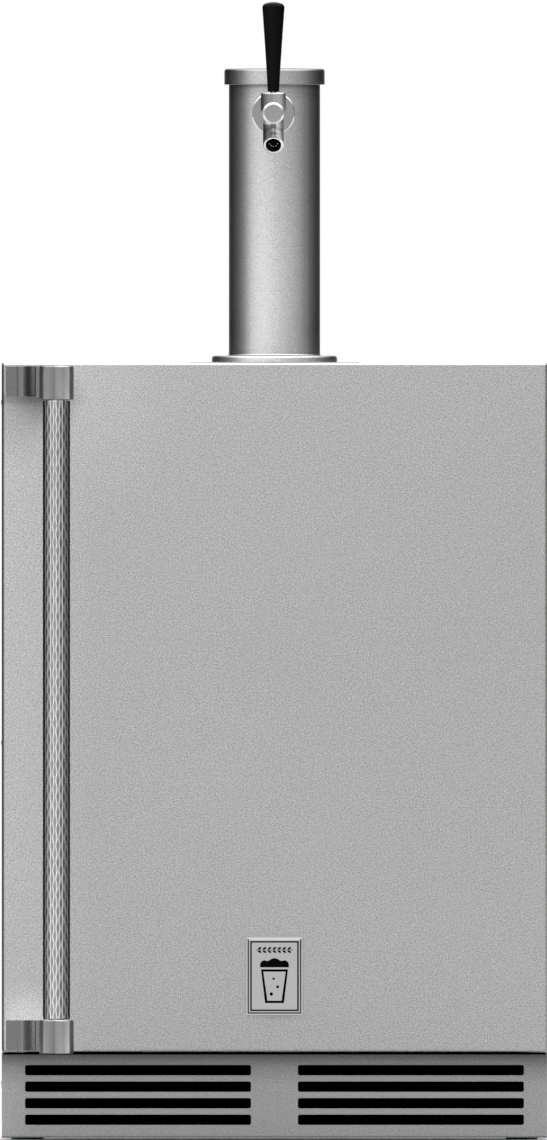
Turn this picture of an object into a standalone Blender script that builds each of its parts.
"""A single-tap kegerator: a stainless undercounter cooler with a beer tower on top.

Metres, +Z up. The front faces -Y and +X is the user's right. The origin is on the floor, under
the middle of the whole object's box.
"""

import math

import bmesh
import bpy
from mathutils import Vector

# Driving dimensions
WIDTH = 0.6064
CABINET_TOP = 0.8636
DEPTH = 0.610  # door face to rear panel
HANDLE_REACH = 0.0712  # the handle stands this far in front of the door face
REAR_REACH = 0.026  # the plug of the power cord stands this far behind the rear panel
GAP = 0.0003  # left between neighbours that touch on the real object
SHEET = 0.001

# Cabinet: distances in y are measured back from the door face
SIDE = WIDTH / 2
CABINET_FRONT = 0.0675
CASING_REAR = DEPTH - 0.001
INNER_HALF = 0.2582
FLOOR = 0.141
CEILING = 0.8136
REAR_WALL = 0.565
FOAM_BOTTOM = 0.101
STEP_RIGHT, STEP_FRONT, STEP_TOP = -0.104, 0.427, 0.232  # the step inside, over the compressor
BASE_BOTTOM = 0.0125

# Door
DOOR_BOTTOM, DOOR_TOP = 0.0976, CABINET_TOP
DOOR_SKIN_DEPTH = 0.050
DOOR_DEPTH = 0.057
DOOR_ROUNDING = 0.0033
HINGE_X, HINGE_BACK = 0.288, 0.042
NOTCH = 0.0176  # height of the notch that each hinge bracket's arm turns in
GASKET_HALF, GASKET_LOW, GASKET_HIGH, GASKET_WIDE = 0.2855, 0.125, 0.834, 0.013

# Door handle
BAR_X, BAR_FORWARD, BAR_RADIUS = -0.2423, 0.052, 0.0153
COLLAR_RADIUS, COLLAR_TALL = 0.0192, 0.0378
COLLARS = {"upper": 0.8225, "lower": 0.0955}  # each collar's lowest z
SPIGOT_RADIUS, SPIGOT_LONG = 0.009, 0.0115

# Toe grille
GRILLE_BACK, GRILLE_TOP, GRILLE_BOTTOM = 0.030, 0.0946, 0.002
SLOT_NEAR, SLOT_FAR, SLOT_TALL, SLOT_PITCH, LOWEST_SLOT = 0.0261, 0.2773, 0.0115, 0.0184, 0.022

# Tower: heights are measured up from the cabinet's top
TOWER_BACK = 0.335
TUBE_RADIUS, TUBE_WALL = 0.0508, 0.0024
FLANGE_RADIUS, FLANGE_TALL = 0.0697, 0.0084
CAP_RADIUS, CAP_TALL, TOWER_TALL = 0.0559, 0.0183, 0.3285
DUCT_RADIUS = 0.038
FAUCET_UP = 0.2782
LEVER_UP = 0.292
HANDLE_UP, HANDLE_TOP = 0.302, 0.402

# Drip tray, let into the top in front of the tower
TRAY_HALF_X, TRAY_HALF_Y, TRAY_DEEP, TRAY_FORWARD = 0.090, 0.054, 0.018, 0.131

# Gas and beer
COUPLER_X, COUPLER_BACK, COUPLER_LOW = -0.218, 0.190, 0.590
CYLINDER_X, CYLINDER_BACK, CYLINDER_RADIUS = -0.1877, 0.4945, 0.0665
VALVE_OUTLET_Z, VALVE_OUTLET_LONG = 0.712, 0.046
FOOT_PLACES = {
    "left_front": (-0.275, 0.105),
    "right_front": (0.275, 0.105),
    "left_rear": (-0.275, 0.585),
    "right_rear": (0.275, 0.585),
}

FRONT = HANDLE_REACH - (HANDLE_REACH + DEPTH + REAR_REACH) / 2
FACING_FRONT = (math.pi / 2, 0, 0)  # turns local +Z to -Y
FACING_RIGHT = (0, math.pi / 2, 0)  # turns local +Z to +X

# Colour, roughness and metallic value of each finish
FINISHES = {
    "stainless": ((0.46, 0.46, 0.47, 1), 0.34, 1.0),
    "polished_steel": ((0.62, 0.62, 0.63, 1), 0.16, 1.0),
    "galvanised": ((0.50, 0.52, 0.53, 1), 0.45, 1.0),
    "black_enamel": ((0.012, 0.012, 0.013, 1), 0.35, 0.0),
    "black_plastic": ((0.010, 0.010, 0.011, 1), 0.30, 0.0),
    "white_plastic": ((0.78, 0.78, 0.76, 1), 0.40, 0.0),
    "rubber": ((0.035, 0.035, 0.036, 1), 0.70, 0.0),
    "foam": ((0.72, 0.66, 0.42, 1), 0.90, 0.0),
    "aluminium": ((0.70, 0.71, 0.72, 1), 0.35, 1.0),
    "brass": ((0.60, 0.42, 0.16, 1), 0.28, 1.0),
    "clear_hose": ((0.80, 0.80, 0.76, 1), 0.25, 0.0),
    "red_hose": ((0.40, 0.020, 0.018, 1), 0.35, 0.0),
    "lamp": ((0.90, 0.92, 0.95, 1), 0.30, 0.0),
}

for leftover in list(bpy.data.objects):
    bpy.data.objects.remove(leftover, do_unlink=True)
PARTS = bpy.data.collections.new("kegerator")
CUTTERS = bpy.data.collections.new("cutters")
for collection in (PARTS, CUTTERS):
    bpy.context.scene.collection.children.link(collection)


def back(distance):
    """The y that lies this far behind the door face."""
    return FRONT + distance


def up(height):
    """The z that lies this far above the cabinet's top."""
    return CABINET_TOP + height


def finish(name, kind):
    colour, roughness, metallic = FINISHES[kind]
    material = bpy.data.materials.new(name + "_finish")
    material.use_nodes = True
    shader = material.node_tree.nodes["Principled BSDF"]
    shader.inputs["Base Color"].default_value = colour
    shader.inputs["Roughness"].default_value = roughness
    shader.inputs["Metallic"].default_value = metallic
    return material


def add(name, mesh, kind, location=(0, 0, 0), rotation=(0, 0, 0), parent=None):
    """A part with its own finish or, without a kind, a helper that only cuts or joins."""
    obj = bpy.data.objects.new(name, mesh)
    if kind:
        PARTS.objects.link(obj)
        mesh.materials.append(finish(name, kind))
    else:
        CUTTERS.objects.link(obj)
        obj.hide_render = True
        obj.display_type = "WIRE"
    obj.rotation_euler = rotation
    obj.parent = parent
    obj.location = Vector(location) - (parent.location if parent else Vector())
    return obj


def pivot(name, location):
    """An empty on a joint's axis, which carries the pieces that turn or slide with it."""
    empty = bpy.data.objects.new(name, None)
    PARTS.objects.link(empty)
    empty.location = location
    return empty


def block(name, size, centre, kind=None, rotation=(0, 0, 0), parent=None, rounding=0.0):
    mesh = bpy.data.meshes.new(name)
    cage = bmesh.new()
    bmesh.ops.create_cube(cage, size=1.0)
    bmesh.ops.scale(cage, vec=size, verts=cage.verts)
    cage.to_mesh(mesh)
    cage.free()
    obj = add(name, mesh, kind, centre, rotation, parent)
    if rounding:
        bevel = obj.modifiers.new("Rounding", "BEVEL")
        bevel.width = rounding
        bevel.segments = 2
        bevel.limit_method = "NONE"
    return obj


def box(name, low, high, kind=None, parent=None, rounding=0.0):
    low, high = Vector(low), Vector(high)
    return block(name, high - low, (low + high) / 2, kind, (0, 0, 0), parent, rounding)


def rod(name, radius, start, end, kind=None, parent=None, sides=24, end_radius=None):
    start, end = Vector(start), Vector(end)
    along = end - start
    mesh = bpy.data.meshes.new(name)
    cage = bmesh.new()
    bmesh.ops.create_cone(
        cage,
        cap_ends=True,
        segments=sides,
        radius1=radius,
        radius2=radius if end_radius is None else end_radius,
        depth=along.length,
    )
    cage.to_mesh(mesh)
    cage.free()
    mesh.shade_smooth()
    mesh.set_sharp_from_angle(angle=math.radians(35))
    turn = along.to_track_quat("Z", "Y").to_euler()
    return add(name, mesh, kind, (start + end) / 2, turn, parent)


def turned(name, profile, kind, location, rotation=(0, 0, 0), parent=None, steps=32, ring=False):
    """A profile of (radius, height) pairs, run down its outer side and turned about local Z."""
    mesh = bpy.data.meshes.new(name)
    count = len(profile)
    edges = [(i, (i + 1) % count) for i in range(count if ring else count - 1)]
    mesh.from_pydata([(radius, 0, height) for radius, height in profile], edges, [])
    obj = add(name, mesh, kind, location, rotation, parent)
    screw = obj.modifiers.new("Screw", "SCREW")
    screw.steps = screw.render_steps = steps
    screw.use_merge_vertices = True
    screw.merge_threshold = 0.00001
    screw.use_smooth_shade = True
    return obj


def add_curve(name, curve, kind, location=(0, 0, 0), rotation=(0, 0, 0), parent=None):
    """A curve made into a closed mesh, so that it can be cut and joined."""
    guide = bpy.data.objects.new(name + "_guide", curve)
    PARTS.objects.link(guide)
    bpy.context.view_layer.update()
    graph = bpy.context.evaluated_depsgraph_get()
    mesh = bpy.data.meshes.new_from_object(guide.evaluated_get(graph))
    bpy.data.objects.remove(guide, do_unlink=True)
    cage = bmesh.new()
    cage.from_mesh(mesh)
    bmesh.ops.remove_doubles(cage, verts=cage.verts, dist=0.00001)
    bmesh.ops.recalc_face_normals(cage, faces=cage.faces)
    cage.to_mesh(mesh)
    cage.free()
    mesh.materials.clear()
    return add(name, mesh, kind, location, rotation, parent)


def poly_spline(curve, points, closed):
    spline = curve.splines.new("POLY")
    spline.points.add(len(points) - 1)
    for target, point in zip(spline.points, points):
        target.co = (*point, 1)
    spline.use_cyclic_u = closed


def tube(name, path, radius, kind=None, parent=None):
    curve = bpy.data.curves.new(name, "CURVE")
    curve.dimensions = "3D"
    curve.bevel_depth = radius
    curve.bevel_resolution = 2
    curve.use_fill_caps = True
    poly_spline(curve, path, closed=False)
    obj = add_curve(name, curve, kind, parent=None)
    if parent:
        obj.parent = parent
        obj.location = -parent.location
    return obj


def plate(name, outline, thickness, kind, location, rotation=(0, 0, 0), parent=None):
    """A flat outline in local XY, with its thickness centred on the location."""
    curve = bpy.data.curves.new(name, "CURVE")
    curve.dimensions = "2D"
    curve.fill_mode = "BOTH"
    curve.extrude = thickness / 2
    poly_spline(curve, [(x, y, 0) for x, y in outline], closed=True)
    return add_curve(name, curve, kind, location, rotation, parent)


def rounded_path(corners, radius, steps=5):
    """Straight runs between the corners, with each inner corner turned on this radius."""
    corners = [Vector(corner) for corner in corners]
    path = [corners[0]]
    for before, corner, after in zip(corners, corners[1:], corners[2:]):
        arrive = (corner - before).normalized()
        leave = (after - corner).normalized()
        turn = arrive.angle(leave)
        start = corner - arrive * radius * math.tan(turn / 2)
        inward = (leave - arrive * arrive.dot(leave)).normalized()
        centre = start + inward * radius
        for step in range(steps + 1):
            angle = turn * step / steps
            offset = arrive * math.sin(angle) - inward * math.cos(angle)
            path.append(centre + offset * radius)
    path.append(corners[-1])
    return path


def boolean(obj, other, operation):
    modifier = obj.modifiers.new(operation.title(), "BOOLEAN")
    modifier.operation = operation
    modifier.object = other


def cut(obj, *cutters):
    for cutter in cutters:
        boolean(obj, cutter, "DIFFERENCE")


def join(obj, *pieces):
    for piece in pieces:
        boolean(obj, piece, "UNION")


# ---------------------------------------------------------------- cabinet


def cavity(name, grow, mouth):
    """The room inside the cabinet, grown all round, with the compressor's step left out of it."""
    room = box(
        name,
        (-INNER_HALF - grow, back(mouth), FLOOR - grow),
        (INNER_HALF + grow, back(REAR_WALL + grow), CEILING + grow),
    )
    step = box(
        name + "_step",
        (-WIDTH, back(STEP_FRONT + grow), 0),
        (STEP_RIGHT - grow, back(DEPTH + 0.1), STEP_TOP - grow),
    )
    cut(room, step)
    return room


def tower_centre(height=0.0):
    return Vector((0, back(TOWER_BACK), up(height)))


def duct(name):
    return rod(name, DUCT_RADIUS, (0, back(TOWER_BACK), CEILING - 0.02), tower_centre(0.02), sides=32)


def tray_recess(name, clear):
    centre = back(TOWER_BACK - TRAY_FORWARD)
    return box(
        name,
        (-TRAY_HALF_X - clear, centre - TRAY_HALF_Y - clear, up(-TRAY_DEEP - clear)),
        (TRAY_HALF_X + clear, centre + TRAY_HALF_Y + clear, up(0.02)),
    )


def cabinet_foam():
    inset = SHEET + GAP
    foam = box(
        "cabinet_foam",
        (-SIDE + inset, back(CABINET_FRONT + inset), FOAM_BOTTOM),
        (SIDE - inset, back(CASING_REAR - GAP), CABINET_TOP - inset),
        "foam",
    )
    room = cavity("foam_cavity", SHEET + GAP, CABINET_FRONT - 0.02)
    bay = box("compressor_bay", (-0.4, back(0.462), 0), (-0.139, back(0.7), 0.195))
    cut(foam, room, bay, duct("foam_duct"), tray_recess("foam_recess", 0.0015))


def inner_liner():
    liner = cavity("liner_outside", SHEET, CABINET_FRONT + SHEET + GAP)
    liner.name = "inner_liner"
    CUTTERS.objects.unlink(liner)
    PARTS.objects.link(liner)
    liner.hide_render = False
    liner.display_type = "TEXTURED"
    liner.data.materials.append(finish("inner_liner", "stainless"))
    cut(liner, cavity("liner_inside", 0, CABINET_FRONT - 0.02), duct("liner_duct"))


def casing():
    shell = box(
        "casing",
        (-SIDE, back(CABINET_FRONT), BASE_BOTTOM),
        (SIDE, back(CASING_REAR), CABINET_TOP),
        "stainless",
    )
    inside = box(
        "casing_inside",
        (-SIDE + SHEET, back(CABINET_FRONT + SHEET), -0.1),
        (SIDE - SHEET, back(DEPTH + 0.1), CABINET_TOP - SHEET),
    )
    opening = box(
        "casing_opening",
        (-INNER_HALF, back(0.03), FLOOR),
        (INNER_HALF, back(0.12), CEILING),
    )
    air_inlet = box("casing_air_inlet", (-0.285, back(0.03), -0.1), (0.285, back(0.12), 0.098))
    cut(shell, inside, opening, air_inlet, duct("casing_duct"), tray_recess("casing_recess", 0.0012))


def rear_panel():
    edge = 0.0015
    panel = box(
        "rear_panel",
        (-SIDE + edge, back(CASING_REAR + GAP), BASE_BOTTOM + edge),
        (SIDE - edge, back(DEPTH), CABINET_TOP - edge),
        "galvanised",
    )
    for row in range(6):
        z = 0.045 + 0.022 * row
        slot = box(f"louvre_{row}", (-0.285, back(0.59), z), (-0.155, back(0.63), z + 0.009))
        cut(panel, slot)
    cut(panel, rod("cord_hole", 0.0055, (-0.105, back(0.59), 0.06), (-0.105, back(0.63), 0.06), sides=16))


def base_pan():
    pan = box(
        "base_pan",
        (-0.3010, back(0.0700), BASE_BOTTOM),
        (0.3010, back(0.6050), 0.030),
        "galvanised",
    )
    inside = box(
        "pan_inside",
        (-0.3000, back(0.0710), BASE_BOTTOM + 0.0015),
        (0.3000, back(0.6040), 0.05),
    )
    cut(pan, inside)
    for name, (x, y) in FOOT_PLACES.items():
        cut(pan, rod(f"stud_hole_{name}", 0.0056, (x, back(y), 0), (x, back(y), 0.04), sides=16))


def feet():
    """Levelling feet: a pad on a threaded stud through the base pan."""
    profile = [(0, 0.040), (0.005, 0.040), (0.005, 0.009), (0.014, 0.009)]
    profile += [(0.018, 0.006), (0.018, 0.001), (0.017, 0), (0, 0)]
    for name, (x, y) in FOOT_PLACES.items():
        axis = pivot(f"foot_{name}_screw", (x, back(y), 0))
        turned(f"foot_{name}", profile, "black_enamel", axis.location, parent=axis, steps=16)


def toe_grille():
    wall = 0.0015
    panel = box(
        "toe_grille",
        (-SIDE, back(GRILLE_BACK), GRILLE_BOTTOM),
        (SIDE, back(CABINET_FRONT - 0.001), GRILLE_TOP),
        "stainless",
    )
    inside = box(
        "grille_inside",
        (-SIDE + wall, back(GRILLE_BACK + wall), -0.1),
        (SIDE - wall, back(0.1), GRILLE_TOP - wall),
    )
    cut(panel, inside)
    for row in range(4):
        z = LOWEST_SLOT + SLOT_PITCH * row
        for side in (-1, 1):
            slot = block(
                f"grille_slot_{row}_{side}",
                (SLOT_FAR - SLOT_NEAR, 0.04, SLOT_TALL),
                (side * (SLOT_FAR + SLOT_NEAR) / 2, back(GRILLE_BACK), z),
                rounding=0.002,
            )
            cut(panel, slot)


# ---------------------------------------------------------------- refrigeration and controls


def compressor():
    x, y = -0.219, back(0.535)
    profile = [(0, 0.172), (0.030, 0.169), (0.050, 0.157), (0.059, 0.136), (0.059, 0.108)]
    profile += [(0.062, 0.106), (0.062, 0.100), (0.059, 0.098), (0.059, 0.050)]
    profile += [(0.048, 0.030), (0.030, 0.020), (0, 0.018)]
    shell = turned("compressor", profile, "black_enamel", (x, y, 0), steps=24)
    feet_plate = box("compressor_plate", (x - 0.058, y - 0.032, 0.0143), (x + 0.058, y + 0.032, 0.021))
    stub = rod("suction_stub", 0.005, (x + 0.04, y - 0.02, 0.08), (x + 0.074, y - 0.02, 0.08), sides=12)
    join(shell, feet_plate, stub)


def rotor(name, centre, radius, axis):
    """A five-bladed axial fan that turns about its pivot's Y."""
    x, y, z = centre
    deep = 0.012
    hub = rod(name, radius * 0.36, (x, y, z), (x, y + deep, z), "black_plastic", axis, sides=16)
    for blade in range(5):
        angle = 2 * math.pi * blade / 5
        reach = radius * 0.62
        piece = block(
            f"{name}_blade_{blade}",
            (radius * 0.72, 0.0016, radius * 0.50),
            (x + math.cos(angle) * reach, y + deep / 2, z - math.sin(angle) * reach),
            rotation=(math.radians(28), angle, 0),
        )
        join(hub, piece)


def condenser():
    coil = box("condenser", (-0.080, back(0.095), 0.018), (0.240, back(0.135), 0.092), "aluminium")
    centre = Vector((0.080, back(0.158), 0.056))
    motor = rod("condenser_motor", 0.014, (centre.x, back(0.13), centre.z), centre - Vector((0, 0.001, 0)))
    join(coil, motor)
    axis = pivot("condenser_fan_axis", centre)
    rotor("condenser_fan", centre, 0.036, axis)


def evaporator():
    box("evaporator", (0.020, back(0.527), 0.490), (0.200, back(0.562), 0.650), "aluminium")
    cover = box(
        "evaporator_cover",
        (-0.010, back(0.505), 0.460),
        (0.230, back(REAR_WALL - GAP), 0.800),
        "white_plastic",
        rounding=0.004,
    )
    inside = box("cover_inside", (-0.0075, back(0.5075), 0.4625), (0.2275, back(0.6), 0.7975))
    centre = Vector((0.110, back(0.530), 0.728))
    mouth = rod("fan_mouth", 0.052, centre - Vector((0, 0.05, 0)), centre, sides=32)
    cut(cover, inside, mouth)
    for row in range(3):
        z = 0.475 + 0.016 * row
        cut(cover, box(f"intake_{row}", (0.030, back(0.49), z), (0.190, back(0.515), z + 0.008)))
    strut = box("fan_strut", (0.050, back(0.5055), 0.7255), (0.170, back(0.5075), 0.7305))
    motor = rod("fan_motor", 0.017, (0.110, back(0.5060), 0.728), (0.110, back(0.529), 0.728))
    join(cover, strut, motor)
    axis = pivot("evaporator_fan_axis", centre)
    rotor("evaporator_fan", centre, 0.048, axis)


def controls():
    """The control housing under the ceiling, with its three push buttons, and the lamp behind it."""
    housing = box(
        "control_housing",
        (-0.095, back(0.090), 0.782),
        (0.095, back(0.135), CEILING - GAP),
        "black_plastic",
        rounding=0.003,
    )
    cut(housing, box("display_recess", (-0.078, back(0.08), 0.790), (-0.018, back(0.091), 0.807)))
    for name, x in (("power", 0.020), ("up", 0.046), ("down", 0.072)):
        place = Vector((x, back(0.0885), 0.798))
        socket = rod(f"socket_{name}", 0.0068, place, place + Vector((0, 0.0115, 0)), sides=24)
        cut(housing, socket)
        axis = pivot(f"button_{name}_slide", place)
        rod(f"button_{name}", 0.0064, place, place + Vector((0, 0.0095, 0)), "white_plastic", axis, 24)
    box(
        "interior_lamp",
        (-0.045, back(0.165), 0.805),
        (0.045, back(0.205), CEILING - GAP),
        "lamp",
        rounding=0.003,
    )


def power_cord():
    rear = back(DEPTH)
    out = rear + 0.011
    corners = [(-0.105, rear - 0.004, 0.06), (-0.105, out, 0.06), (-0.105, out, 0.30)]
    corners += [(0.030, out, 0.30), (0.030, out, 0.12), (0.100, out, 0.12), (0.100, out, 0.17)]
    cord = tube("power_cord", rounded_path(corners, 0.0105, 4), 0.004, "rubber")
    plug = box("plug", (0.086, rear + 0.002, 0.168), (0.114, rear + REAR_REACH, 0.205), rounding=0.004)
    prongs = [
        box(f"prong_{i}", (x - 0.003, out - 0.001, 0.2), (x + 0.003, out + 0.001, 0.224))
        for i, x in enumerate((0.0937, 0.1063))
    ]
    ground = rod("ground_prong", 0.0024, (0.1, rear + 0.0200, 0.2), (0.1, rear + 0.0200, 0.226), sides=12)
    join(cord, plug, *prongs, ground)


# ---------------------------------------------------------------- door


def notches(name):
    """The two notches in the door's rear right corners, which the hinge brackets' arms turn in."""
    left, front = HINGE_X - 0.013, back(HINGE_BACK - 0.018)
    right, rear = SIDE + 0.01, back(0.1)
    return [
        box(f"{name}_top_notch", (left, front, DOOR_TOP - NOTCH), (right, rear, DOOR_TOP + 0.01)),
        box(f"{name}_low_notch", (left, front, DOOR_BOTTOM - 0.01), (right, rear, DOOR_BOTTOM + NOTCH)),
    ]


def door(axis):
    skin = box(
        "door_skin",
        (-SIDE, back(0), DOOR_BOTTOM),
        (SIDE, back(0.09), DOOR_TOP),
        "stainless",
        axis,
        rounding=DOOR_ROUNDING,
    )
    wall = 0.0012
    inside = box(
        "skin_inside",
        (-SIDE + wall, back(wall), DOOR_BOTTOM + wall),
        (SIDE - wall, back(0.2), DOOR_TOP - wall),
    )
    behind = box("skin_behind", (-1, back(DOOR_SKIN_DEPTH), -1), (1, back(0.3), 2))
    cut(skin, inside, behind, *notches("skin"))

    inset = wall + GAP
    foam = box(
        "door_foam",
        (-SIDE + inset, back(inset), DOOR_BOTTOM + inset),
        (SIDE - inset, back(DOOR_SKIN_DEPTH), DOOR_TOP - inset),
        "foam",
        axis,
    )
    cut(foam, *notches("foam"))
    for name, low, high in (("top", 0.815, 0.87), ("low", 0.09, 0.147)):
        start, end = (HINGE_X, back(HINGE_BACK), low), (HINGE_X, back(HINGE_BACK), high)
        hole = rod(f"pin_hole_{name}", 0.005, start, end)
        cut(foam, hole)

    liner = box(
        "door_liner",
        (-0.3015, back(DOOR_SKIN_DEPTH + GAP), DOOR_BOTTOM + 0.0015),
        (0.3015, back(DOOR_DEPTH), DOOR_TOP - 0.0015),
        "white_plastic",
        axis,
    )
    join(liner, box("liner_panel", (-0.245, back(0.055), 0.155), (0.245, back(0.0625), 0.800)))
    cut(liner, *notches("liner"))

    gasket = box(
        "door_gasket",
        (-GASKET_HALF, back(DOOR_DEPTH + GAP), GASKET_LOW),
        (GASKET_HALF, back(CABINET_FRONT - 0.0004), GASKET_HIGH),
        "rubber",
        axis,
    )
    hole = box(
        "gasket_hole",
        (-GASKET_HALF + GASKET_WIDE, back(0.03), GASKET_LOW + GASKET_WIDE),
        (GASKET_HALF - GASKET_WIDE, back(0.10), GASKET_HIGH - GASKET_WIDE),
    )
    cut(gasket, hole)


def hinge_bracket(name, edge, inward):
    """A steel bracket on the cabinet's front edge: a plate, an arm, and the pin the door turns on.
    edge is the door's top or bottom, and inward the direction from there to the door's middle."""

    def level(distance):
        return edge + inward * distance

    def between(label, x_low, x_high, y_low, y_high, near, far, kind=None):
        z_low, z_high = sorted((level(near), level(far)))
        return box(label, (x_low, back(y_low), z_low), (x_high, back(y_high), z_high), kind)

    bracket = between(name, 0.262, 0.300, 0.0649, 0.0671, 0.0036, 0.0250, "galvanised")
    arm = between(name + "_arm", 0.279, 0.297, HINGE_BACK, 0.066, 0.0076, 0.0116)
    eye = rod(
        name + "_eye",
        0.009,
        (HINGE_X, back(HINGE_BACK), level(0.0076)),
        (HINGE_X, back(HINGE_BACK), level(0.0116)),
    )
    pin = rod(
        name + "_pin",
        0.004,
        (HINGE_X, back(HINGE_BACK), level(0.0086)),
        (HINGE_X, back(HINGE_BACK), level(0.0386)),
        sides=16,
    )
    join(bracket, arm, eye, pin)


def handle_arm_outline():
    """One arm of the handle in plan, as (x, distance in front of the door): a foot on the door,
    then a neck that sweeps forward into the collar."""
    outline = [(-0.2984, GAP), (-0.2984, 0.013), (-0.2857, 0.013), (-0.2848, 0.0118)]
    for step in range(7):
        angle = math.pi / 2 * step / 6
        outline.append((-0.2838 + 0.0168 * math.sin(angle), 0.0460 - 0.0320 * math.cos(angle)))
    outline += [(-0.2655, 0.0525), (-0.2540, 0.0545), (-0.2540, 0.0420), (-0.2580, 0.0380)]
    for step in range(5):
        angle = math.pi / 2 * step / 4
        outline.append((-0.2700 + 0.0110 * math.cos(angle), 0.0360 - 0.0240 * math.sin(angle)))
    outline.append((-0.2700, GAP))
    return outline


def handle(axis):
    centre = Vector((BAR_X, FRONT - BAR_FORWARD, 0))
    chamfer = 0.0008
    for name, low in COLLARS.items():
        # In each collar's own frame, +Z runs from the bar towards the handle's end.
        turn = (0, 0, 0) if name == "upper" else (math.pi, 0, 0)
        base = centre + Vector((0, 0, low if name == "upper" else low + COLLAR_TALL))
        profile = [(0, COLLAR_TALL), (COLLAR_RADIUS - chamfer, COLLAR_TALL)]
        profile += [(COLLAR_RADIUS, COLLAR_TALL - chamfer), (COLLAR_RADIUS, chamfer)]
        profile += [(COLLAR_RADIUS - chamfer, 0), (SPIGOT_RADIUS + GAP, 0)]
        profile += [(SPIGOT_RADIUS + GAP, SPIGOT_LONG + 0.001), (0, SPIGOT_LONG + 0.001)]
        bracket = turned(f"handle_bracket_{name}", profile, "polished_steel", base, turn, axis)
        outline = [(x, FRONT - forward) for x, forward in handle_arm_outline()]
        middle = low + COLLAR_TALL / 2
        arm = plate(f"handle_arm_{name}", outline, 0.034, None, (0, 0, middle))
        join(bracket, arm)

    bottom = COLLARS["lower"] + COLLAR_TALL + GAP
    top = COLLARS["upper"] - GAP
    profile = [(0, top + SPIGOT_LONG), (SPIGOT_RADIUS, top + SPIGOT_LONG), (SPIGOT_RADIUS, top)]
    profile += [(BAR_RADIUS, top), (BAR_RADIUS, bottom), (SPIGOT_RADIUS, bottom)]
    profile += [(SPIGOT_RADIUS, bottom - SPIGOT_LONG), (0, bottom - SPIGOT_LONG)]
    turned("handle_bar", profile, "polished_steel", centre, parent=axis)


def badge(axis):
    wide, tall, low = 0.0635, 0.0874, 0.1382
    plaque = box(
        "badge",
        (-wide / 2, FRONT - 0.0035, low),
        (wide / 2, FRONT - GAP, low + tall),
        "polished_steel",
        axis,
    )
    rim = 0.0032
    recess = box(
        "badge_recess",
        (-wide / 2 + rim, FRONT - 0.01, low + rim),
        (wide / 2 - rim, FRONT - 0.0027, low + tall - rim),
    )
    cut(plaque, recess)


# ---------------------------------------------------------------- tower and faucet


def arc(centre_r, centre_z, radius, start, end, steps):
    """Points on an arc of a turned profile, with its angles in degrees."""
    angles = [math.radians(start + (end - start) * step / steps) for step in range(steps + 1)]
    return [(centre_r + radius * math.cos(a), centre_z + radius * math.sin(a)) for a in angles]


def tower():
    base = tower_centre()
    edge = 0.003
    profile = arc(FLANGE_RADIUS - edge, FLANGE_TALL - edge, edge, 90, 0, 3)
    profile += [(FLANGE_RADIUS, GAP), (DUCT_RADIUS, GAP), (DUCT_RADIUS, FLANGE_TALL)]
    turned("tower_flange", profile, "stainless", base, steps=48, ring=True)

    low, high = FLANGE_TALL + GAP, TOWER_TALL - 0.003
    inner = TUBE_RADIUS - TUBE_WALL
    profile = [(TUBE_RADIUS, high), (TUBE_RADIUS, low), (inner, low), (inner, high)]
    shell = turned("tower_tube", profile, "stainless", base, steps=48, ring=True)
    start = tower_centre(FAUCET_UP)
    cut(shell, rod("shank_hole", 0.0115, start, start - Vector((0, 0.08, 0))))

    top = TOWER_TALL - 0.0027
    inner = TUBE_RADIUS + 0.0004
    profile = [(0, TOWER_TALL)] + arc(CAP_RADIUS - edge, TOWER_TALL - edge, edge, 90, 0, 3)
    profile += [(CAP_RADIUS, TOWER_TALL - CAP_TALL), (inner, TOWER_TALL - CAP_TALL)]
    profile += [(inner, top), (0, top)]
    turned("tower_cap", profile, "stainless", base, steps=48)

    outer, bore = TUBE_RADIUS - TUBE_WALL - GAP, 0.030
    profile = [(outer, top - 0.002), (outer, 0.010), (bore, 0.010), (bore, top - 0.002)]
    sleeve = turned("tower_insulation", profile, "foam", base, steps=24, ring=True)
    centre = tower_centre(FAUCET_UP)
    room = box("shank_room", centre - Vector((0.023, 0.08, 0.023)), centre + Vector((0.023, 0, 0.023)))
    cut(sleeve, room)


def ahead(distance, height=FAUCET_UP):
    """A point on the faucet's centre plane, this far in front of the tower's tube."""
    return Vector((0, back(TOWER_BACK) - TUBE_RADIUS - distance, up(height)))


BONNET_AHEAD = 0.034  # the bonnet, the lever and the spout share this plane


def spout_path(start_drop, beyond):
    """Down out of the barrel, then forward through 50 degrees, then straight to the mouth."""
    radius, turn = 0.020, math.radians(50)
    axis = ahead(BONNET_AHEAD)
    path = [axis - Vector((0, 0, start_drop)), axis - Vector((0, 0, 0.014))]
    for step in range(1, 6):
        angle = turn * step / 5
        forward, drop = radius * (1 - math.cos(angle)), radius * math.sin(angle)
        path.append(axis + Vector((0, -forward, -0.014 - drop)))
    direction = Vector((0, -math.sin(turn), -math.cos(turn)))
    path.append(path[-1] + direction * (0.0075 + beyond))
    return path


def shank_and_escutcheon():
    face = ahead(0)
    disc = [(0.0115, 0.008), (0.0219, 0.008), (0.0239, 0.006), (0.0239, -0.010), (0.0115, -0.010)]
    escutcheon = turned("escutcheon", disc, "polished_steel", face, FACING_FRONT, ring=True)
    cut(escutcheon, rod("tower_round", TUBE_RADIUS + GAP, tower_centre(0.2), tower_centre(0.31), sides=64))

    outer, bore, tail = 0.0111, 0.005, 0.0068
    profile = [(outer, 0.010), (outer, -0.030), (tail, -0.030)]
    profile += [(tail, -0.038), (bore, -0.038), (bore, 0.010)]
    turned("shank", profile, "polished_steel", face, FACING_FRONT, steps=24, ring=True)

    nut = rod("shank_nut", 0.019, ahead(-0.0073), ahead(-0.0160), "brass", sides=6)
    cut(nut, rod("nut_bore", outer + GAP, ahead(0), ahead(-0.03), sides=24))


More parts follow.
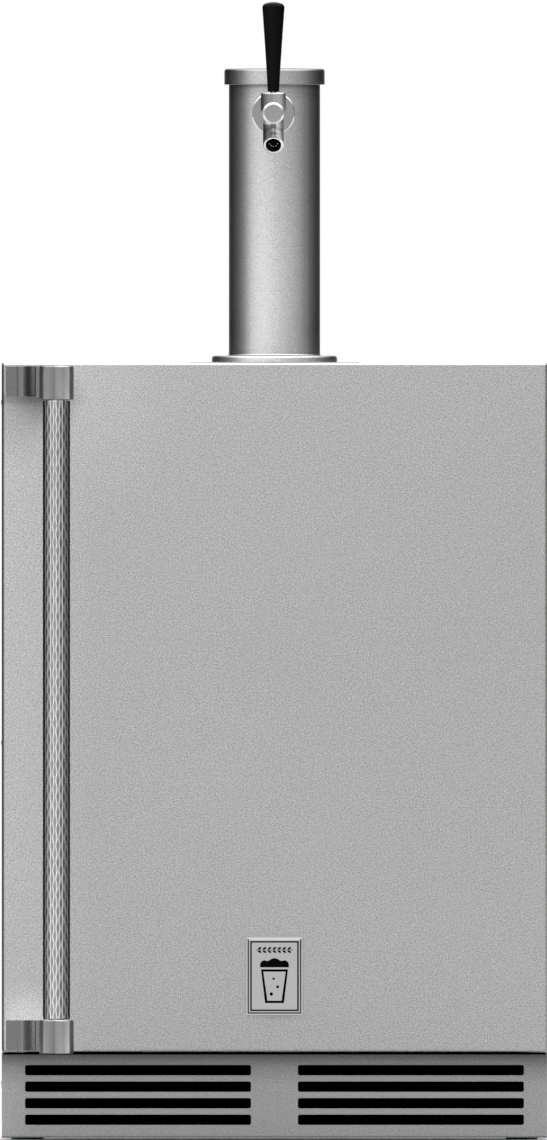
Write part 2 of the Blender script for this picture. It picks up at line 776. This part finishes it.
def faucet():
    face = ahead(0)
    barrel, socket, start, end = 0.0122, 0.0114, 0.0083, 0.056
    front = 0.0115
    profile = [(0, end), (front - 0.0015, end), (front, end - 0.0015), (front, 0.0500), (barrel, 0.0490)]
    profile += [(barrel, start), (socket, start), (socket, 0.0103), (0, 0.0103)]
    body = turned("faucet_body", profile, "polished_steel", face, FACING_FRONT, steps=32)
    spout = tube("spout", spout_path(0.002, 0), 0.0112)
    join(body, spout)
    axis = ahead(BONNET_AHEAD)
    bore = tube("spout_bore", spout_path(0.002, 0.004), 0.0083)
    shaft_bore = rod("shaft_bore", 0.0046, ahead(0), ahead(0.050), sides=16)
    slot_low, slot_high = Vector((-0.0032, -0.0045, -0.001)), Vector((0.0032, 0.0100, 0.02))
    lever_slot = box("lever_slot", axis + slot_low, axis + slot_high)
    ball_seat = rod("ball_seat", 0.0064, ahead(BONNET_AHEAD, LEVER_UP - 0.0065), ahead(BONNET_AHEAD, 0.31))
    cut(body, bore, shaft_bore, lever_slot, ball_seat)

    outer, inner, low, high = 0.01385, 0.0118, 0.281 - FAUCET_UP, 0.301 - FAUCET_UP
    profile = [(outer - 0.0012, high), (outer, high - 0.0012), (outer, low), (inner, low), (inner, high)]
    bonnet = turned("faucet_bonnet", profile, "polished_steel", axis, steps=32, ring=True)
    cut(bonnet, rod("barrel_room", barrel + GAP, ahead(0.01), ahead(0.06), sides=32))

    slide = pivot("valve_shaft_slide", axis)
    shaft = rod("valve_shaft", 0.004, ahead(0.012), ahead(0.048), "polished_steel", slide, sides=16)
    slot_low, slot_high = Vector((-0.01, -0.0042, -0.001)), Vector((0.01, 0.0042, 0.01))
    cut(shaft, box("shaft_slot", axis + slot_low, axis + slot_high))


def tap_handle():
    centre = ahead(BONNET_AHEAD, LEVER_UP)
    axis = pivot("tap_lever_axis", centre)
    ball, stem, neck, stud = 0.0055, 0.0022, 0.004, 0.0035
    profile = [(0, 0.024), (stud, 0.024), (stud, 0.0097), (neck, 0.0097)]
    profile += arc(0, 0, ball, 43, -66, 6)
    profile += [(stem, -0.0145), (0, -0.0145)]
    turned("tap_lever", profile, "polished_steel", centre, parent=axis, steps=16)

    tall = HANDLE_TOP - HANDLE_UP
    low_radius, high_radius, shoulder = 0.0064, 0.0124, 0.005
    profile = [(0, tall)] + arc(high_radius - shoulder, tall - shoulder - 0.001, shoulder, 70, 0, 4)
    profile += [(low_radius + 0.0035, tall * 0.45), (low_radius + 0.0008, tall * 0.12), (low_radius, 0)]
    profile += [(stud + GAP, 0), (stud + GAP, 0.016), (0, 0.016)]
    turned("tap_handle", profile, "black_plastic", ahead(BONNET_AHEAD, HANDLE_UP), parent=axis, steps=32)


def drip_tray():
    centre = Vector((0, back(TOWER_BACK - TRAY_FORWARD), 0))
    axis = pivot("drip_tray_lift", centre + Vector((0, 0, CABINET_TOP)))
    half = Vector((TRAY_HALF_X, TRAY_HALF_Y, 0))
    lip = Vector((0.0035, 0.0035, 0))
    wall = Vector((0.001, 0.001, 0))
    low, top = Vector((0, 0, up(-TRAY_DEEP))), Vector((0, 0, up(0.0009)))
    tray = box("drip_tray", centre - half + low, centre + half + top, "stainless", axis)
    rim_low = Vector((0, 0, up(GAP)))
    join(tray, box("tray_rim", centre - half - lip + rim_low, centre + half + lip + top))
    floor, above = Vector((0, 0, up(-TRAY_DEEP + 0.001))), Vector((0, 0, up(0.02)))
    cut(tray, box("tray_inside", centre - half + wall + floor, centre + half - wall + above))

    half_grid = half - wall - Vector((GAP, GAP, 0))
    grid_low, grid_high = Vector((0, 0, up(-0.0022))), Vector((0, 0, up(-0.0004)))
    low, high = centre - half_grid + grid_low, centre + half_grid + grid_high
    grid = box("drip_grid", low, high, "stainless", axis)
    for side in (-1, 1):
        left, right = side * 0.043 - 0.038, side * 0.043 + 0.038
        for row in range(9):
            y = centre.y + (row - 4) * 0.0105
            slot = box(f"grid_slot_{row}_{side}", (left, y - 0.003, 0.8), (right, y + 0.003, 0.9))
            cut(grid, slot)


# ---------------------------------------------------------------- beer and gas


def coupler():
    """The keg coupler, parked on a hook on the left wall: body, probe and lever."""
    base = Vector((COUPLER_X, back(COUPLER_BACK), COUPLER_LOW))
    bore, pin_up = 0.0112, 0.100
    profile = [(0.0145, 0.108), (0.0145, 0.050), (0.022, 0.046), (0.030, 0.028), (0.030, 0.0113)]
    profile += [(0.022, 0.0113), (0.022, 0), (bore, 0), (bore, 0.108)]
    body = turned("coupler_body", profile, "polished_steel", base, steps=24, ring=True)
    start, end = base + Vector((0, 0.018, 0.038)), base + Vector((0, 0.046, 0.038))
    port = rod("gas_port", 0.006, start, end, sides=16)
    start, end = base + Vector((-0.021, 0, pin_up)), base + Vector((0.021, 0, pin_up))
    pins = rod("lever_pins", 0.003, start, end, sides=12)
    start, end = base - Vector((0, 0, 0.01)), base + Vector((0, 0, 0.12))
    clear = rod("probe_room", bore, start, end, sides=24)
    join(body, port, pins)
    cut(body, clear)

    slide = pivot("coupler_probe_slide", base + Vector((0, 0, pin_up)))
    profile = [(0.006, 0.140), (0.006, 0.128), (0.0106, 0.126), (0.0106, 0.004)]
    profile += [(0.003, 0.004), (0.003, 0.140)]
    turned("coupler_probe", profile, "polished_steel", base, parent=slide, steps=16, ring=True)

    axis = pivot("coupler_lever_axis", base + Vector((0, 0, pin_up)))
    rise = math.radians(35)
    forward = Vector((0, -math.cos(rise), math.sin(rise)))
    centre = axis.location

    def bar(label, x, near, far, kind=None, parent=None):
        return block(
            label,
            (0.004, far - near, 0.012),
            centre + Vector((x, 0, 0)) + forward * (near + far) / 2,
            kind,
            (-rise, 0, 0),
            parent,
        )

    lever = bar("coupler_lever", -0.0175, -0.008, 0.034, "polished_steel", axis)
    other = bar("lever_cheek", 0.0175, -0.008, 0.034)
    bridge = block("lever_bridge", (0.039, 0.006, 0.012), centre + forward * 0.031, None, (-rise, 0, 0))
    grip = rod("lever_grip", 0.0075, centre + forward * 0.029, centre + forward * 0.095, sides=16)
    join(lever, other, bridge, grip)
    across = Vector((0.03, 0, 0))
    cut(lever, rod("lever_bore", 0.0034, centre - across, centre + across, sides=12))

    wall = -INNER_HALF + GAP
    low, high = (wall, base.y - 0.030, 0.575), (wall + 0.003, base.y + 0.030, 0.650)
    hook = box("coupler_hook", low, high, "galvanised")
    low, high = (wall + 0.001, base.y - 0.036, 0.597), (COUPLER_X + 0.022, base.y + 0.036, 0.601)
    fork = box("hook_fork", low, high)
    neck = rod("hook_neck", 0.0232, base - Vector((0, 0, 0.02)), base + Vector((0, 0, 0.04)))
    mouth = box("hook_mouth", base + Vector((0, -0.0232, -0.02)), base + Vector((0.05, 0.0232, 0.04)))
    join(hook, fork)
    cut(hook, neck, mouth)


def gas_cylinder():
    base = Vector((CYLINDER_X, back(CYLINDER_BACK), 0))
    radius, bottom = CYLINDER_RADIUS, STEP_TOP + GAP
    profile = [(0, 0.677), (0.015, 0.677), (0.015, 0.662), (0.030, 0.655), (0.052, 0.636), (radius, 0.605)]
    profile += [(radius, bottom + 0.010), (radius - 0.008, bottom), (0, bottom)]
    turned("co2_cylinder", profile, "aluminium", base, steps=32)

    profile = [(0, 0.738), (0.0065, 0.738), (0.0065, 0.726), (0.012, 0.723), (0.012, 0.690)]
    profile += [(0.0145, 0.688), (0.0145, 0.677 + GAP), (0, 0.677 + GAP)]
    valve = turned("cylinder_valve", profile, "brass", base, steps=20)
    outlet = base + Vector((0, 0, VALVE_OUTLET_Z))
    end = outlet - Vector((0, VALVE_OUTLET_LONG, 0))
    join(valve, rod("valve_outlet", 0.008, outlet, end, sides=16))

    axis = pivot("valve_handwheel_axis", base + Vector((0, 0, 0.7385)))
    wheel = turned(
        "valve_handwheel",
        [(0, 0.014), (0.020, 0.014), (0.024, 0.011), (0.024, 0.003), (0.020, 0), (0, 0)],
        "black_plastic",
        axis.location,
        parent=axis,
        steps=24,
    )
    for notch in range(8):
        angle = 2 * math.pi * notch / 8
        rim = axis.location + Vector((math.cos(angle), math.sin(angle), 0)) * 0.0268
        start, end = rim - Vector((0, 0, 0.01)), rim + Vector((0, 0, 0.03))
        cut(wheel, rod(f"wheel_notch_{notch}", 0.0050, start, end, sides=12))


def gauge(name, centre, body, needle_angle):
    """A pressure gauge that faces the front, joined to the regulator, with its own needle."""
    deep = Vector((0, 0.014, 0))
    case = rod(name + "_case", 0.019, centre, centre + deep, sides=32)
    start, end = centre - Vector((0, 0.01, 0)), centre + Vector((0, 0.003, 0))
    face = rod(name + "_face", 0.0172, start, end, sides=32)
    join(body, case)
    cut(body, face)
    axis = pivot(name + "_needle_axis", centre + Vector((0, 0.0022, 0)))
    direction = Vector((math.cos(needle_angle), 0, math.sin(needle_angle)))
    needle = block(
        name + "_needle",
        (0.017, 0.0008, 0.0012),
        axis.location + direction * 0.0055,
        "black_enamel",
        (0, -needle_angle, 0),
        axis,
    )
    start, end = axis.location - Vector((0, 0.0008, 0)), axis.location + Vector((0, 0.0004, 0))
    join(needle, rod(name + "_boss", 0.0022, start, end, sides=12))


def regulator():
    base = Vector((CYLINDER_X, back(CYLINDER_BACK) - VALVE_OUTLET_LONG, VALVE_OUTLET_Z))
    profile = [(0, 0.054), (0.006, 0.054), (0.006, 0.044), (0.017, 0.042), (0.019, 0.030), (0.024, 0.028)]
    profile += [(0.024, 0.012), (0.013, 0.010), (0.013, GAP), (0, GAP)]
    body = turned("regulator_body", profile, "brass", base, FACING_FRONT, steps=22)

    def stem(label, radius, start, end, sides):
        return rod(label, radius, base + Vector(start), base + Vector(end), sides=sides)

    join(
        body,
        stem("upper_stem", 0.005, (0, -0.022, 0.015), (0, -0.022, 0.032), 12),
        stem("side_stem", 0.005, (-0.015, -0.022, 0), (-0.030, -0.022, 0), 12),
        stem("outlet_stem", 0.006, (0, -0.022, -0.015), (0, -0.022, -0.058), 14),
        stem("shutoff_ball", 0.0085, (0, -0.022, -0.030), (0, -0.022, -0.046), 16),
        stem("shutoff_stem", 0.003, (0, -0.024, -0.038), (0, -0.036, -0.038), 10),
    )
    low_stop = math.radians(225)
    gauge("line_gauge", base + Vector((0, -0.030, 0.046)), body, low_stop)
    gauge("tank_gauge", base + Vector((-0.0445, -0.030, 0)), body, low_stop)

    axis = pivot("regulator_knob_axis", base + Vector((0, -0.0445, 0)))
    profile = [(0, 0.024), (0.015, 0.024), (0.017, 0.021), (0.017, 0)]
    profile += [(0.0066, 0), (0.0066, 0.0125), (0, 0.0125)]
    turned("regulator_knob", profile, "black_plastic", axis.location, FACING_FRONT, axis, steps=16)

    axis = pivot("shutoff_lever_axis", base + Vector((0, -0.0365, -0.038)))
    lever = box(
        "shutoff_lever",
        axis.location + Vector((-0.004, -0.0026, -0.030)),
        axis.location + Vector((0.004, 0, 0.006)),
        "red_hose",
        axis,
    )
    eye = rod(
        "lever_eye",
        0.0033,
        axis.location + Vector((0, 0.01, 0)),
        axis.location - Vector((0, 0.0015, 0)),
        sides=12,
    )
    cut(lever, eye)


def hoses():
    coupler_top = Vector((COUPLER_X, back(COUPLER_BACK), COUPLER_LOW + 0.1405))
    hang = CEILING - 0.030
    corners = [ahead(-0.0384), ahead(-TUBE_RADIUS), Vector((0, back(TOWER_BACK), hang))]
    corners += [Vector((COUPLER_X, back(COUPLER_BACK), hang)), coupler_top]
    tube("beer_line", rounded_path(corners, 0.012, 4), 0.0048, "clear_hose")

    outlet_y = back(CYLINDER_BACK) - VALVE_OUTLET_LONG - 0.022
    clear_y, low = outlet_y - 0.030, 0.560
    port_y, port_z = back(COUPLER_BACK) + 0.0465, COUPLER_LOW + 0.038
    corners = [(CYLINDER_X, outlet_y, VALVE_OUTLET_Z - 0.0585), (CYLINDER_X, outlet_y, 0.634)]
    corners += [(CYLINDER_X, clear_y, 0.604), (CYLINDER_X, clear_y, low)]
    corners += [(COUPLER_X, port_y + 0.080, low), (COUPLER_X, port_y + 0.030, port_z)]
    corners.append((COUPLER_X, port_y, port_z))
    tube("gas_line", rounded_path(corners, 0.012, 4), 0.0045, "red_hose")


def build():
    cabinet_foam()
    inner_liner()
    casing()
    rear_panel()
    base_pan()
    feet()
    toe_grille()
    compressor()
    condenser()
    evaporator()
    controls()
    power_cord()
    hinge_bracket("upper_hinge_bracket", DOOR_TOP, -1)
    hinge_bracket("lower_hinge_bracket", DOOR_BOTTOM, 1)
    door_axis = pivot("door_hinge_axis", (HINGE_X, back(HINGE_BACK), DOOR_BOTTOM))
    door(door_axis)
    handle(door_axis)
    badge(door_axis)
    tower()
    shank_and_escutcheon()
    faucet()
    tap_handle()
    drip_tray()
    coupler()
    gas_cylinder()
    regulator()
    hoses()


build()
